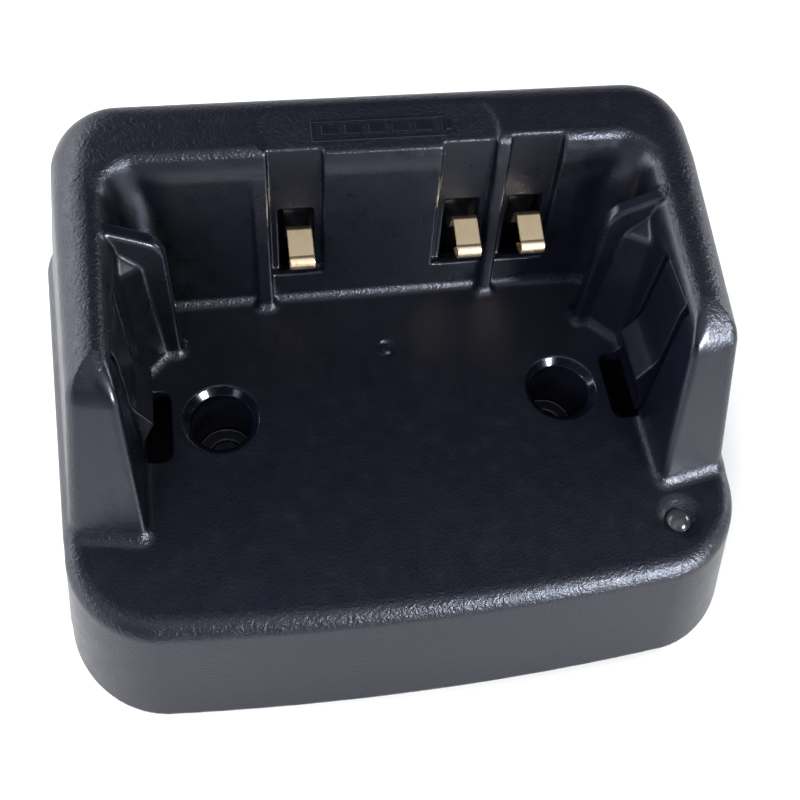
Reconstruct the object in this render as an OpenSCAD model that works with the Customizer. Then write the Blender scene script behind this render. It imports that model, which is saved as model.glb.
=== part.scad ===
// Desktop charging cradle for a handheld radio.
// Moulded two-piece case with an open-fronted pocket, two snap tongues,
// three sprung charging contacts, a charging board, an indicator and a
// rear power socket.
// Frame: X across the pocket, +Y towards the back wall, +Z up.
// Origin: midway between the two fixing holes, on the underside plane of
// the case. The rubber feet stand foot_proud below that plane.

/* [Case] */
// Height of the pocket floor (deck) above the underside
deck_z = 16; // [15.6:0.1:17]
// Thickness of the deck
deck_t = 2.5; // [2.2:0.1:2.8]
// Wall thickness of the case skirt
wall_t = 2.4; // [2.0:0.1:2.6]
// Height of the rim above the deck, measured at y = 0
rim_h = 24; // [23.6:0.1:24.6]
// Upward slope of the rim towards the back, degrees
rim_tilt = 6.1; // [5:0.1:7]

/* [Pocket] */
// Half width of the pocket between the side arms, at the deck
pocket_half_w = 35.6; // [35.2:0.1:35.8]
// Distance of the back wall from the fixing-hole line, at the deck
back_y = 19.8; // [19.5:0.1:20.1]
// Backward lean of the back wall, degrees
back_lean = 9; // [8.5:0.1:9.5]

/* [Fixing holes] */
// Spacing of the two fixing holes
hole_pitch = 50; // [48:1:52]
// Radius of the head recess seen from above
head_r = 4.3; // [4.1:0.05:4.6]
// Radius of the clearance hole for an M4 screw
fixing_r = 2.25; // [2.1:0.05:2.5]

/* [Contacts] */
// Centre positions of the three contacts across the back wall
contact_x = [-11.8, 12.2, 21.65];
// Width of a contact leaf
leaf_w = 3.6; // [3:0.1:3.8]
// Thickness of a contact leaf
leaf_t = 0.4; // [0.3:0.05:0.5]

/* [Latches] */
// Thickness of a snap tongue
tongue_t = 1.6; // [1.4:0.1:1.7]
// How far a hook stands out of the arm's inner face
hook_out = 2.3; // [1.8:0.1:2.6]

/* [Feet and cover] */
// Thickness of the bottom cover
cover_t = 2; // [1.8:0.1:2.2]
// How far the feet stand below the case
foot_proud = 0.8; // [0.6:0.1:1.2]
// Radius of a foot
foot_r = 4.5; // [4:0.1:5]

/* [Hidden] */
$fn = 48;
slice_t = 0.01; // thickness of the thin slices that hulls are stretched over

case_color = [0.10, 0.10, 0.13];
contact_color = [0.75, 0.62, 0.42];
steel_color = [0.72, 0.72, 0.74];

// [x, y] places
fixing_holes = [[-hole_pitch / 2, 0], [hole_pitch / 2, 0]];
bosses = [[-29, -27], [29, -27], [-34, 30], [34, 30]];
standoffs = [[-13, -24], [13, -24], [-13, 8], [13, 8]];
carrier_fixings = [[-13.5, 18], [13.5, 18]];
feet = [[-36, -20], [36, -20], [-40, 15], [40, 15]];
led = [37, -22.6];

// [start, end] in x, on the back wall
channels = [[-15.85, -8.3], [8.2, 15.7], [17.7, 25.2]];
windows = [[-14.5, -9.5], [9.6, 14.6], [19.1, 24.1]];
wall_ribs = [[-18.1, -15.84], [15.69, 17.71]];

board_z = 5.2;
board_t = 1.6;
board_top = board_z + board_t;
jack_h = 8;
jack_z = board_top + jack_h / 2;    // axis of the power socket
cover_pad = 3.4;                    // height of the cover's screw pads
leaf_top_h = 19.6;                  // root of the contact leaves above the deck
leaf_top_z = deck_z + leaf_top_h;
leaf_top_y = 28.9;
rivet_z = leaf_top_z + 1.7;
rivet_hole_r = 0.8;
carrier_y = 30.6;                   // front of the carrier's upright plate
carrier_t = 1.6;
carrier_tab_z = deck_z - 7.3;
carrier_tab_t = 1.8;
rim_edge_y = 24.9;                  // front edge of the rear rim
tongue_front_slope = 0.1515;        // change in y per unit height
tongue_rear_slope = 0.095;

// ---- Helpers ----

// Heights above the deck
function rim_height(y) = rim_h + tan(rim_tilt) * y;
function back_wall_y(height) = back_y + tan(back_lean) * height;

// Turns [across, height above the deck] points into [across, z]
function from_deck(points) = [for (p = points) [p[0], deck_z + p[1]]];

// Adds the mirror image in x, closing a half outline
function mirrored(right) =
  concat(right, [for (j = [len(right) - 1 : -1 : 0]) [-right[j][0], right[j][1]]]);

function arc(cx, cy, r, start, end, steps) =
  [for (j = [0 : steps])
    let (angle = start + (end - start) * j / steps)
      [cx + r * cos(angle), cy + r * sin(angle)]];

// Offsets an open path sideways by distance, with mitred corners
function left_normal(a, b) = let (d = b - a) [-d[1], d[0]] / norm(d);
function path_side(path, distance) =
  [for (j = [0 : len(path) - 1])
    let (before = max(j - 1, 0),
         after = min(j, len(path) - 2),
         m = left_normal(path[before], path[before + 1])
           + left_normal(path[after], path[after + 1]))
      path[j] + m * (2 * distance / (m * m))];

// Outline of a strip of the given thickness centred on an open path
function strip(path, thickness) =
  let (left = path_side(path, thickness / 2),
       right = path_side(path, -thickness / 2))
    concat(left, [for (j = [len(right) - 1 : -1 : 0]) right[j]]);

module both_sides() {
  children();
  mirror([1, 0, 0]) children();
}

module on_board() {
  translate([0, 0, board_top]) children();
}

module box(corner, size) {
  translate(corner) cube(size);
}

module slice(z, plan) {
  translate([0, 0, z]) linear_extrude(slice_t) polygon(plan);
}

// Slice parallel to the rim, dz above it
module rim_slice(dz, plan) {
  translate([0, 0, deck_z + rim_h + dz])
    rotate([rim_tilt, 0, 0])
      linear_extrude(slice_t) polygon(plan);
}

// Prism along X from [y, z] points
module along_x(x0, x1, points) {
  translate([x0, 0, 0]) rotate([90, 0, 90]) linear_extrude(x1 - x0) polygon(points);
}

// Prism along Y from [x, z] points
module along_y(y0, y1, points) {
  translate([0, y1, 0]) rotate([90, 0, 0]) linear_extrude(y1 - y0) polygon(points);
}

module column(place, r, z0, z1) {
  translate([place[0], place[1], z0]) cylinder(r = r, h = z1 - z0);
}

module columns(places, r, z0, z1) {
  for (p = places) column(p, r, z0, z1);
}

// Cylinder running towards +Y
module rod_y(x, y, z, r, length) {
  translate([x, y, z]) rotate([-90, 0, 0]) cylinder(r = r, h = length);
}

// Pan-head screws driven upwards, with a cross recess; z is under the head
module screws(places, z, length, shank_r, cap_r, cap_h) {
  tip = 0.6;
  color(steel_color) for (p = places) translate([p[0], p[1], z]) difference() {
    union() {
      translate([0, 0, -cap_h]) cylinder(r1 = cap_r - 0.3, r2 = cap_r, h = cap_h * 0.4);
      translate([0, 0, -cap_h * 0.6]) cylinder(r = cap_r, h = cap_h * 0.6);
      cylinder(r = shank_r, h = length - tip);
      translate([0, 0, length - tip]) cylinder(r1 = shank_r, r2 = shank_r * 0.4, h = tip);
    }
    for (a = [0, 90]) rotate(a)
      box([-cap_r * 0.6, -0.25, -cap_h - 1], [cap_r * 1.2, 0.5, 1 + cap_h * 0.55]);
  }
}

// ---- Case outlines ----

// Skirt plan: bowed front, side edges that open to the rear, rounded corners.
// side = side x at y = -15, slope = change of side x with y
function outline(inset, front, side, slope, back, front_r, rear_r) =
  let (bow_r = 420,
       front_y = front + inset,
       rear_y = back - inset,
       rear_x = side - inset + slope * (rear_y - rear_r + 15) - rear_r,
       front_x = side - inset + slope * (front_y + front_r + 15) - front_r,
       corner_y = front_y + front_x * front_x / (2 * bow_r) + front_r,
       bow = [for (j = [1 : 5])
         let (x = front_x * j / 6) [x, front_y + x * x / (2 * bow_r)]])
    concat([[0, front_y]],
      mirrored(concat(bow,
        arc(front_x, corner_y, front_r, -88, -2, 8),
        arc(rear_x, rear_y - rear_r, rear_r, 2, 90, 8))));

// level 0 = underside, 1 = deck; blended linearly between
function skirt_plan(inset, level = 0) =
  outline(inset,
    front = -38 + 6.75 * level,
    side = 48.5 - 1.9 * level,
    slope = 0.03 + 0.03 * level,
    back = 37.3 - 0.4 * level,
    front_r = 14 - 2 * level,
    rear_r = 9 - 0.5 * level);

module skirt_slice(z, inset, level) {
  slice(z, skirt_plan(inset, level));
}

// Plan of the U-shaped wall, filled: front y at its inner and outer side,
// half width at the front and rear, back y, rear corner radius
function wall_plan(inner_y, outer_y, front_x, rear_x, back, r) =
  mirrored(concat(
    [[34, inner_y], [front_x - 0.9, outer_y - 0.15], [front_x, outer_y + 0.8]],
    arc(rear_x - r, back - r, r, 0, 90, 8)));

function pocket_plan(half_w, back) =
  mirrored([[half_w, -60], [half_w, back - 6.5], [half_w - 1.9, back - 1.9],
    [half_w - 6.5, back]]);

// ---- Upper case ----

module skirt_solid() {
  hull() {
    skirt_slice(0, 0, 0);
    skirt_slice(deck_z - 1.9, -0.25, 0.9);
    skirt_slice(deck_z - 0.6, 0.35, 0.99);
    skirt_slice(deck_z - slice_t, 1.6, 1);
  }
}

module wall_solid() {
  hull() {
    slice(deck_z - 1.5, wall_plan(-18.1, -16.0, 45.85, 48.5, 36.7, 9));
    slice(deck_z + 18, wall_plan(-9.0, -7.3, 43.3, 45.4, 36.3, 9));
    rim_slice(-4.3, wall_plan(-8.6, -7.0, 43.1, 44.6, 36.2, 9));
    rim_slice(-1.3, wall_plan(-6.4, -5.1, 41.5, 42.9, 34.2, 8));
    rim_slice(0, wall_plan(-3.5, -2.6, 39.0, 40.2, 31.0, 5.5));
  }
}

module pocket_cut() {
  cut_h = 40;
  hull() {
    slice(deck_z, pocket_plan(pocket_half_w, back_y));
    slice(deck_z + cut_h, pocket_plan(pocket_half_w + 1.1, back_wall_y(cut_h)));
  }
  // chamfer band below the rim: back wall, then arms
  along_x(-29.8, 29.8, from_deck([
    [0, rim_height(24.8) + 3], [back_wall_y(23.6), 23.6],
    [rim_edge_y, rim_height(rim_edge_y)], [26.2, rim_height(rim_edge_y) + 3]]));
  both_sides() translate([0, 0, deck_z + 21.65]) rotate([rim_tilt, 0, 0])
    along_y(-12, 21, [[30, 6], [30, 0], [pocket_half_w + 0.7, 0],
      [pocket_half_w + 2.3, 2.9], [pocket_half_w + 3.4, 6]]);
}

module case_hollows() {
  // inside of the skirt and the seat for the bottom cover
  hull() {
    skirt_slice(cover_t, wall_t, 0.12);
    skirt_slice(deck_z - deck_t, wall_t, 0.85);
  }
  translate([0, 0, -1]) linear_extrude(cover_t + 1) polygon(skirt_plan(1.9));
  // hollow behind the back wall
  along_x(-28.5, 28.5, from_deck([
    [22.8, -deck_t - 1], [22.9, 0], [26.3, 21.5], [26.7, 23.9],
    [31.4, 23.9], [33.6, 21.6], [34.2, -deck_t - 1]]));
  // hollow of each arm
  both_sides() hull() {
    slice(deck_z - deck_t - 0.5, [[37.7, -16.2], [42.6, -12.5], [44.2, 20], [37.7, 20]]);
    slice(deck_z + 17.5, [[37.8, -4.6], [41.5, -0.6], [42.0, 20], [37.8, 20]]);
    slice(deck_z + 22.1, [[37.9, 2.5], [38.4, 5], [39.1, 20], [37.9, 20]]);
  }
}

module guide_block() {
  intersection() {
    along_x(29.8, 37.5, from_deck([
      [11.2, -1], [13.7, 19], [14.6, 25.5], [16.8, 25.5], [15.9, 19], [13.4, -1]]));
    along_y(10, 27, from_deck([
      [29.8, -1], [29.95, 19.4], [30.3, 20.9], [31.3, 22.1],
      [36.8, 24.5], [37.5, 24.5], [37.5, -1]]));
  }
  // 45-degree web with a sloping triangular top
  translate([0, 0, deck_z]) polyhedron(
    points = [[32.1, 10.9, -1], [35.9, 7.4, -1], [37.3, 14.6, -1],
              [33.3, 13.9, 18.6], [36.1, 10.5, 19.2], [37.0, 14.6, 21.4]],
    faces = [[0, 1, 2], [3, 5, 4], [0, 3, 4], [0, 4, 1],
             [1, 4, 5], [1, 5, 2], [2, 5, 3], [2, 3, 0]]);
}

module case_additions() {
  both_sides() guide_block();
  // upright ribs beside the contacts
  for (rib = wall_ribs) along_x(rib[0], rib[1], from_deck([
    [18.1, -1], [back_wall_y(22.6), 22.6], [25.6, 22.6], [22.6, -1]]));
  columns(fixing_holes, head_r + 1.9, cover_t, deck_z - 1);
  columns(bosses, 3.1, cover_pad, deck_z - 1);
  columns(standoffs, 2.4, board_top, deck_z - 1);
  columns(carrier_fixings, 2.3, carrier_tab_z + carrier_tab_t, deck_z - 1);
}

module contact_openings() {
  base_h = 4.8;
  base_y = back_wall_y(base_h);
  top_h = rim_height(rim_edge_y) + 2;
  for (c = channels) along_x(c[0], c[1], from_deck([
    [10, base_h], [base_y + 1.4, base_h], [rim_edge_y + 0.35, 25.6],
    [25.6, top_h], [10, top_h]]));
  for (w = windows) along_x(w[0], w[1], from_deck([
    [21, base_h], [base_y + 1.15, base_h], [base_y + 1.15, 3.6],
    [26.5, 3.6], [27.5, 15.7], [21, 15.7]]));
}

// Windows in the arms for the snap tongues, and the deck slots below them
module tongue_openings() {
  rise = 16.2;
  corner_r = 1.6;
  slot_x = 5.95;
  slot_y = 11;
  both_sides() along_x(34, 38.2, from_deck([
    [-5.2, 2], [-4.6 + rise * tongue_front_slope, 22.15],
    [6.05 + rise * tongue_rear_slope, 22.15], [5.5, 2]]));
  both_sides() translate([32, -5.8, deck_z - deck_t - 1]) linear_extrude(deck_t + 1.02) {
    translate([corner_r, 0]) square([slot_x - corner_r, slot_y]);
    translate([0, corner_r]) square([slot_x, slot_y - 2 * corner_r]);
    for (y = [corner_r, slot_y - corner_r]) translate([corner_r, y]) circle(corner_r);
  }
  both_sides() box([35.2, -5.2, deck_z - 1], [3.1, 10.6, 4]);
}

module fixing_and_pilot_holes() {
  flare = 1.16;
  columns(fixing_holes, head_r, 4.5, deck_z + 1);
  columns(fixing_holes, fixing_r, 0, 5);
  for (p = fixing_holes) translate([p[0], p[1], deck_z - 1.15])
    cylinder(r1 = head_r, r2 = head_r + flare, h = flare);
  columns(bosses, 1.3, 1, 11.5);
  columns(standoffs, 0.95, 1, 12.6);
  columns(carrier_fixings, 0.95, 1, 14.6);
}

// Indicator hole with its dished surround
module indicator_opening() {
  column(led, 1.85, deck_z - 4, deck_z + 1);
  translate([led[0] + 0.3, led[1] + 0.6, deck_z + 6.1]) sphere(r = 6.8, $fn = 64);
}

module gate_mark() {
  translate([0, 9.35, deck_z - 0.25]) difference() {
    cylinder(r = 1.35, h = 1);
    translate([0, 0, -1]) cylinder(r = 0.95, h = 3);
  }
}

// Frame of the flat on the rear rim
module on_rim_flat() {
  translate([0, 24.6, deck_z + 25.9]) rotate([10.7, 0, 0]) children();
}

// Raised battery outline with five bars
module emblem() {
  raised = 0.55;
  on_rim_flat() translate([0, 3.3, -0.3]) {
    difference() {
      box([-9.6, -1.7, 0], [18.4, 3.4, raised]);
      box([-9.1, -1.2, -1], [17.4, 2.4, 3]);
    }
    box([8.7, -0.7, 0], [1.0, 1.4, raised]);
    for (x = [-8.2 : 3.2 : 4.7]) box([x, -0.7, 0], [2.2, 1.4, raised]);
  }
}

module upper_case() {
  color(case_color) {
    difference() {
      union() {
        difference() {
          union() {
            skirt_solid();
            difference() {
              wall_solid();
              pocket_cut();
            }
          }
          case_hollows();
        }
        case_additions();
      }
      contact_openings();
      on_rim_flat() box([-18, -3, 0], [35, 9.6, 5]);
      tongue_openings();
      fixing_and_pilot_holes();
      indicator_opening();
      gate_mark();
      // power socket opening in the rear skirt
      rod_y(0, 30, jack_z, r = 4.15, length = 12);
    }
    emblem();
  }
}

// ---- Cover, feet and label ----

module bottom_cover() {
  color(case_color) difference() {
    union() {
      linear_extrude(cover_t - 0.05) polygon(skirt_plan(2.05));
      columns(bosses, 4.3, 0, cover_pad - 0.05);
      // stiffening ribs
      for (y = [-18, 14]) box([-40, y - 0.6, cover_t - 0.2], [80, 1.2, 1]);
    }
    columns(fixing_holes, fixing_r, -1, 5);
    columns(bosses, 3.0, -1, 1.7);
    columns(bosses, 1.6, -1, 5);
    columns(feet, foot_r + 0.08, -1, 1);
    // label recess
    box([-18.2, -10.2, -1], [36.4, 20.4, 1.25]);
  }
}

module foot(place) {
  bevel = 0.4;
  color([0.06, 0.06, 0.06]) translate([place[0], place[1], -foot_proud]) {
    cylinder(r1 = foot_r - bevel, r2 = foot_r, h = bevel);
    translate([0, 0, bevel]) cylinder(r = foot_r, h = foot_proud + 0.6);
  }
}
module foot_front_left() { foot(feet[0]); }
module foot_front_right() { foot(feet[1]); }
module foot_rear_left() { foot(feet[2]); }
module foot_rear_right() { foot(feet[3]); }

module rating_label() {
  color([0.75, 0.75, 0.76]) box([-18, -10, 0.1], [36, 20, 0.15]);
}

// ---- Latches ----

// Snap tongue on the +X side: hangs from its root, hook low on the inner face
module latch() {
  foot_x = 35.75;
  hook_x = 35.95;
  root_x = 36.15;
  root_h = 21.2;
  front_y = -3.6;
  rear_y = 4.85;
  rise = 16.3;
  drop = 6;
  color(case_color) intersection() {
    along_x(30, 40, from_deck([
      [front_y - drop * tongue_front_slope, -0.9],
      [front_y + rise * tongue_front_slope, 22.1],
      [rear_y + rise * tongue_rear_slope, 22.1],
      [rear_y - drop * tongue_rear_slope, -0.9]]));
    union() {
      along_y(-8, 10, from_deck([
        [foot_x, -0.9], [35.85, 1.7], [hook_x - hook_out, 6.5], [hook_x, 10.3],
        [root_x, root_h], [root_x + tongue_t, root_h], [foot_x + tongue_t, -0.9]]));
      translate([root_x + tongue_t / 2, 0, deck_z + root_h]) rotate([90, 0, 0])
        cylinder(r = tongue_t / 2, h = 30, center = true);
    }
  }
}
module latch_right() { latch(); }
module latch_left() { mirror([1, 0, 0]) latch(); }

// ---- Contacts ----

// Centre line of a sprung leaf, [y, height above the deck]: hangs from its
// root behind the wall, comes forward through the window, turns round a
// nose and returns
leaf_path = concat(
  [[leaf_top_y, leaf_top_h - 0.25], [leaf_top_y - 0.1, 16], [28.4, 11.9],
   [28.0, 10.8], [27.1, 10.2], [24.2, 10.1], [23.3, 10.4], [22.75, 11.2],
   [22.5, 13.0], [22.15, 13.85], [21.3, 14.15]],
  arc(17.3, 12.2, 0.9, 80, 255, 7),
  [[18.6, 11.0]]);

module blade(x) {
  color(contact_color)
    along_x(x - leaf_w / 2, x + leaf_w / 2, from_deck(strip(leaf_path, leaf_t)));
}
module contact_blade_negative() { blade(contact_x[0]); }
module contact_blade_sense() { blade(contact_x[1]); }
module contact_blade_positive() { blade(contact_x[2]); }

module contact_terminals() {
  color(contact_color) for (x = contact_x) difference() {
    box([x - leaf_w / 2, leaf_top_y - leaf_t / 2, leaf_top_z + 0.12], [leaf_w, leaf_t, 3.0]);
    translate([x, leaf_top_y, rivet_z]) rotate([-90, 0, 0])
      cylinder(r = rivet_hole_r, h = 3, center = true);
  }
}

module contact_rivets() {
  cap_t = 0.5;
  front_y = leaf_top_y - leaf_t / 2 - cap_t;
  color([0.7, 0.6, 0.35]) for (x = contact_x) {
    rod_y(x, front_y, rivet_z, r = 1.4, length = cap_t);
    rod_y(x, front_y, rivet_z, r = 0.78, length = 4.4);
    rod_y(x, 32.22, rivet_z, r = 1.2, length = 0.4);
  }
}

module contact_carrier() {
  left_x = -17;
  width = 43;
  tab_w = 8;
  color([0.12, 0.12, 0.12]) difference() {
    union() {
      box([left_x, carrier_y, deck_z + 1], [width, carrier_t, 21.6]);
      box([left_x, leaf_top_y + leaf_t / 2, leaf_top_z + 0.12], [width, 1.8, 3.08]);
      // L-shaped legs: upright part, then the tab running forward
      for (p = carrier_fixings) {
        box([p[0] - tab_w / 2, carrier_y, carrier_tab_z], [tab_w, carrier_t, 10]);
        box([p[0] - tab_w / 2, 15, carrier_tab_z], [tab_w, 17.2, carrier_tab_t]);
      }
    }
    for (x = contact_x) rod_y(x, 20, rivet_z, r = rivet_hole_r, length = 20);
    columns(carrier_fixings, 1.2, 5, 15);
  }
}

// ---- Screws ----

module carrier_screws() {
  screws(carrier_fixings, z = carrier_tab_z, length = 5.6,
    shank_r = 0.9, cap_r = 1.8, cap_h = 1.1);
}

module board_screws() {
  screws(standoffs, z = board_z, length = 6.4, shank_r = 0.9, cap_r = 1.8, cap_h = 1.3);
}

module case_screws() {
  screws(bosses, z = 1.7, length = 8.8, shank_r = 1.25, cap_r = 2.7, cap_h = 1.5);
}

// ---- Board and its parts ----

// [x, y]
board_plan = [
  [-17, -28], [24.5, -28], [24.5, -22.5], [33.5, -22.5], [33.5, -26], [41, -26],
  [41, -14], [17, -14], [17, 9.5], [24, 9.5], [24, 30.3], [-24, 30.3],
  [-24, 9.5], [-17, 9.5]];

module main_board() {
  color([0.05, 0.32, 0.16]) difference() {
    translate([0, 0, board_z]) linear_extrude(board_t) polygon(board_plan);
    columns(standoffs, 1.15, 0, 10);
  }
}

module charge_controller() {
  lead_pitch = 1.27;
  color([0.1, 0.1, 0.1]) on_board() box([-2.5, -17, 0.15], [5, 4, 1.45]);
  color(steel_color) on_board() for (j = [0 : 3]) for (y = [-18.0, -13.05])
    box([-2.1 + j * lead_pitch, y, 0], [0.42, 1.05, 0.4]);
}

module power_transistor() {
  color([0.1, 0.1, 0.1]) on_board() box([-12, -15, 0.2], [6.5, 6, 2.2]);
  color(steel_color) on_board() {
    box([-11.5, -9.1, 0], [5.5, 1.6, 0.5]);
    for (x = [-11.4, -7.2]) box([x, -17.4, 0], [0.8, 2.5, 0.5]);
  }
}

// Square block with its four upright edges cut off
module power_inductor() {
  width = 7;
  color([0.2, 0.2, 0.2]) on_board() translate([-9.5, 0, 0]) difference() {
    box([-width / 2, -width / 2, 0], [width, width, 4.4]);
    for (j = [0 : 3]) translate([0, 0, -1]) rotate(j * 90 + 45)
      box([4.4, -5, 0], [5, 10, 8]);
  }
}

module filter_capacitors() {
  base_w = 6.6;
  for (p = [[7, -7], [7, 1.2]]) {
    color([0.78, 0.78, 0.8]) on_board() translate([p[0], p[1], 0.8])
      cylinder(r = 3.15, h = 4.9);
    color([0.1, 0.1, 0.1]) on_board()
      box([p[0] - base_w / 2, p[1] - base_w / 2, 0], [base_w, base_w, 0.85]);
  }
}

module protection_diode() {
  color([0.12, 0.12, 0.12]) on_board() box([-9.6, 22, 0.1], [2.6, 4.4, 1.7]);
  color(steel_color) on_board() for (y = [21.3, 25.9]) box([-9.1, y, 0], [1.6, 1.2, 0.9]);
}

module resettable_fuse() {
  color([0.7, 0.62, 0.2]) on_board() box([7, 22, 0], [3.2, 4.5, 1.2]);
}

module chip_resistors() {
  chip = [1.25, 2, 0.5];
  color([0.15, 0.15, 0.15]) on_board() {
    for (j = [0 : 4]) box([18 + j * 3.6, -20, 0], chip);
    for (j = [0 : 2]) box([-4 + j * 3.2, -23, 0], chip);
  }
}

module status_led() {
  lens_r = 1.5;
  lens_z = 2.2;
  color([0.85, 0.9, 0.85, 0.7]) translate([led[0], led[1], board_top]) {
    cylinder(r = 1.9, h = 0.8);
    cylinder(r = lens_r, h = lens_z);
    translate([0, 0, lens_z]) intersection() {
      sphere(r = lens_r);
      box([-2, -2, 0], 4);
    }
  }
}

// Collared rod with a domed top
module light_pipe() {
  pipe_r = 1.75;
  shoulder_z = deck_z - 0.3;
  color([0.55, 0.55, 0.6, 0.8]) {
    column(led, pipe_r, deck_z - 5.2, shoulder_z);
    column(led, 2.7, deck_z - 3.7, deck_z - 2.55);
    translate([led[0], led[1], shoulder_z]) intersection() {
      translate([0, 0, -1.2]) sphere(r = 2.122, $fn = 64);
      cylinder(r = pipe_r, h = 3);
    }
  }
}

// ---- Power socket ----

module dc_jack_housing() {
  color([0.08, 0.08, 0.08]) difference() {
    union() {
      box([-4.5, 23.4, board_top], [9, 10.6, jack_h]);
      rod_y(0, 33.9, jack_z, r = 4, length = 2.9);
    }
    rod_y(0, 26.5, jack_z, r = 3.15, length = 12);
    rod_y(0, 20, jack_z, r = 1.02, length = 8);
    // slot for the spring
    box([-1.6, 27.4, 7.1], [3.2, 6.2, 2.2]);
  }
}

module dc_jack_pin() {
  start_y = 21.6;
  pin_r = 1.0;
  length = 13.6;
  color(steel_color) {
    rod_y(0, start_y, jack_z, r = pin_r, length = length);
    translate([0, start_y + length, jack_z]) rotate([-90, 0, 0])
      cylinder(r1 = pin_r, r2 = 0.6, h = 0.5);
    box([-1.2, start_y, board_top], [2.4, 0.6, 4]);
  }
}

module dc_jack_spring() {
  color(steel_color)
    along_x(-1.3, 1.3, strip([[27.8, 7.4], [30.2, 7.6], [31.6, 8.0], [33.0, 7.6]], 0.3));
}

// ---- Leads ----

// Rises from the board, runs back and then up behind the carrier
module lead(x, lead_color) {
  lead_r = 0.6;
  start_y = 28.0;
  rear_y = 32.95;
  run_z = board_top + 0.75;
  color(lead_color) {
    column([x, rear_y], lead_r, run_z, leaf_top_z + 0.2);
    rod_y(x, start_y, run_z, r = lead_r, length = rear_y - start_y);
    for (y = [start_y, rear_y]) translate([x, y, run_z]) sphere(r = lead_r);
    column([x, start_y], 0.35, board_top, run_z);
  }
}
module lead_negative() { lead(contact_x[0], [0.05, 0.05, 0.05]); }
module lead_sense() { lead(contact_x[1], [0.85, 0.75, 0.15]); }
module lead_positive() { lead(contact_x[2], [0.7, 0.08, 0.06]); }

upper_case();
bottom_cover();
latch_left();
latch_right();
contact_blade_negative();
contact_blade_sense();
contact_blade_positive();
contact_carrier();
contact_terminals();
contact_rivets();
carrier_screws();
main_board();
board_screws();
charge_controller();
power_transistor();
power_inductor();
filter_capacitors();
protection_diode();
resettable_fuse();
chip_resistors();
status_led();
light_pipe();
dc_jack_housing();
dc_jack_pin();
dc_jack_spring();
lead_negative();
lead_sense();
lead_positive();
case_screws();
foot_front_left();
foot_front_right();
foot_rear_left();
foot_rear_right();
rating_label();
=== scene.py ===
"""A battery charging cradle on four rubber feet.

A skirted base carries a deck and a U-shaped wall, open to the front. Two snap
tongues stand in the side walls, three sprung contact leaves in the back wall.
x runs to the right, -y is the front, +y the back, z is up. Lengths are in
millimetres until new_mesh; "rise" is height above the deck and "side" is |x|.
"""
import bpy
import math
import numpy as np
from functools import reduce
from mathutils import Vector, Matrix

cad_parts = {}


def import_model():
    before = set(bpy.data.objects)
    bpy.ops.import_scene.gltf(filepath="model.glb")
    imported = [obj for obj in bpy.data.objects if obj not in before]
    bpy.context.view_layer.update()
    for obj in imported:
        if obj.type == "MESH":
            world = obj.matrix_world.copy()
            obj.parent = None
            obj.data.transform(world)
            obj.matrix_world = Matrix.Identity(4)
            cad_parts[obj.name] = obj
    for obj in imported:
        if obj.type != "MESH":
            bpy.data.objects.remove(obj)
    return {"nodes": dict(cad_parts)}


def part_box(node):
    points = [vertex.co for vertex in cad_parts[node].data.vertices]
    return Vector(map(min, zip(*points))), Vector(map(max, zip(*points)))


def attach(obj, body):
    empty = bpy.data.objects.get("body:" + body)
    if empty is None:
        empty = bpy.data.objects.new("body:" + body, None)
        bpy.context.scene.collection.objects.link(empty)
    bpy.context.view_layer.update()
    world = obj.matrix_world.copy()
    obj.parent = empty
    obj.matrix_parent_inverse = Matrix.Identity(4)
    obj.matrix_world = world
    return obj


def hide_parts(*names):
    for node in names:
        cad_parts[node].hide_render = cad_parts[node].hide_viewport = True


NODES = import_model()["nodes"]
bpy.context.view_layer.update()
MM = 0.001


def mm_box(node):
    low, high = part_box(node)
    return np.array(low) * 1000.0, np.array(high) * 1000.0


# --------------------------------------------------------------- dimensions
CASE_BOX = mm_box("upper_case")
TONGUE_BOX = mm_box("latch_right")
PIPE_LOW, PIPE_HIGH = mm_box("light_pipe")
PIPE_X, PIPE_Y = ((PIPE_LOW + PIPE_HIGH) / 2)[:2]
DECK = PIPE_LOW[2] + 5.2
FLOOR_Z = mm_box("foot_front_left")[0][2]
RIM_RISE = 24                                   # rim plane at y = 0
RIM_TILT = math.tan(math.radians(6.1))
BACK_LEAN = math.tan(math.radians(9.0))         # inner back face
BACK_Y = 19.8                                   # inner back face at the deck
# x ranges in the back wall
CHANNELS = [(-15.85, -8.3), (8.2, 15.7), (17.7, 25.2)]
WINDOWS = [(-14.5, -9.5), (9.6, 14.6), (19.1, 24.1)]
RIBS = [(-18.1, CHANNELS[0][0]), (CHANNELS[1][1], CHANNELS[2][0])]
# flat on the rear rim: where its lower edge lies, and its tilt
FLAT_Y, FLAT_RISE, FLAT_TILT = 24.6, 25.9, math.radians(10.7)
FIXING_X = 25                                   # fixing holes, at y = 0
# posts under the deck: side, y, radius, foot z, pilot hole radius, hole top z
POSTS = [
    (29, -27, 3.1, 3.4, 1.3, 11.5),
    (34, 30, 3.1, 3.4, 1.3, 11.5),
    (13, -24, 2.4, 6.8, 0.95, 12.6),
    (13, 8, 2.4, 6.8, 0.95, 12.6),
    (13.5, 18, 2.3, DECK - 5.5, 0.95, 14.6),
]


# ---------------------------------------------------------- distance fields
# A field is negative inside its solid. A slanted plane reads
# (coordinate - (offset + slope * rise)) * factor, where the factor brings
# the gradient back to about one. The last argument of join, meet and cut
# is the radius left along the edge between the two solids.
def join(a, b, radius):
    return (np.maximum(radius, np.minimum(a, b))
            - np.hypot(np.maximum(radius - a, 0), np.maximum(radius - b, 0)))


def meet(a, b, radius):
    return (np.minimum(-radius, np.maximum(a, b))
            + np.hypot(np.maximum(radius + a, 0), np.maximum(radius + b, 0)))


def cut(a, b, radius):
    return meet(a, -b, radius)


def every(*fields):
    """Sharp overlap."""
    return reduce(np.maximum, fields)


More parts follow.
